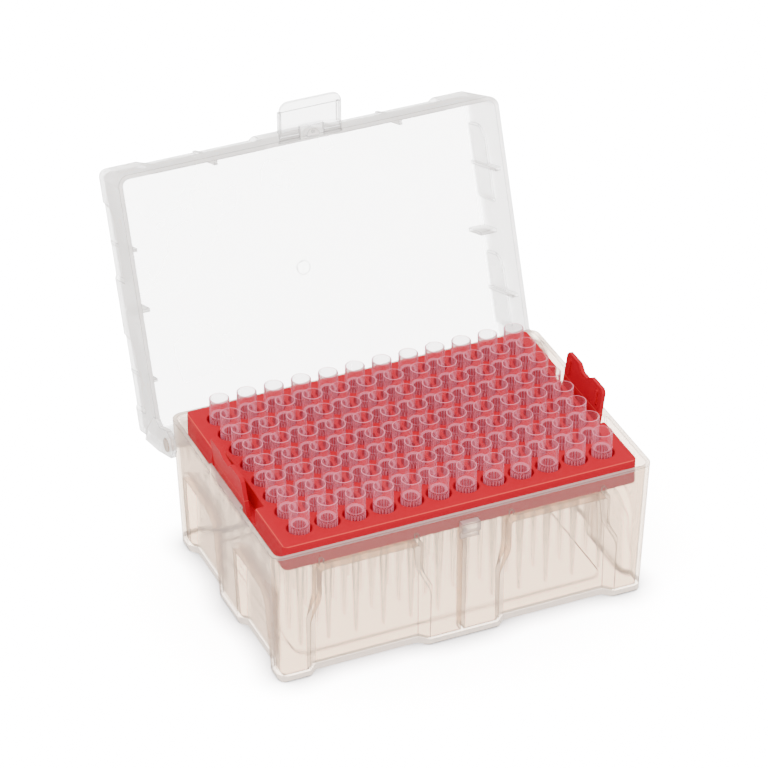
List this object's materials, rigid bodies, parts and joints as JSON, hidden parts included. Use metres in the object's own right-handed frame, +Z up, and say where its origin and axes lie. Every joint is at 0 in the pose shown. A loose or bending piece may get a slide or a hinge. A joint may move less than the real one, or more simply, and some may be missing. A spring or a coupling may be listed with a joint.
{
  "type": "pipette_tip_box",
  "caption": "Open hinged box of pipette tips: clear base, lid and flip-over latch, and a red rack with squeeze grips that holds the clear tips upright",
  "frame": {"origin": "centre of the underside of the base, between its feet", "axes": "+X along the twelve columns of tips, +Y to the hinge side, +Z up"},
  "size_m": [0.1284, 0.1411, 0.1262],
  "materials": {
    "clear_base": "clear polypropylene with a faint warm tint",
    "clear_lid": "clear plastic, neutral",
    "red_rack": "satin moulded plastic",
    "clear_tips": "clear polypropylene, polished"
  },
  "bodies": {
    "base": {"base": "clear_base", "rack": "red_rack", "tips_column_01": "clear_tips", "tips_column_02": "clear_tips", "tips_column_03": "clear_tips", "tips_column_04": "clear_tips", "tips_column_05": "clear_tips", "tips_column_06": "clear_tips", "tips_column_07": "clear_tips", "tips_column_08": "clear_tips", "tips_column_09": "clear_tips", "tips_column_10": "clear_tips", "tips_column_11": "clear_tips", "tips_column_12": "clear_tips"},
    "lid": {"lid": "clear_lid"},
    "latch": {"latch": "clear_lid"}
  },
  "joints": [
    {"name": "lid_hinge", "type": "hinge", "parent": "base", "child": "lid", "pos_m": [0, 0.04, 0.0369], "axis": [1, 0, 0], "range_deg": [0, 110.5]},
    {"name": "latch_hinge", "type": "hinge", "parent": "lid", "child": "latch", "pos_m": [0, 0.07608, 0.11256], "axis": [1, 0, 0], "range_deg": [-40, 70]}
  ]
}
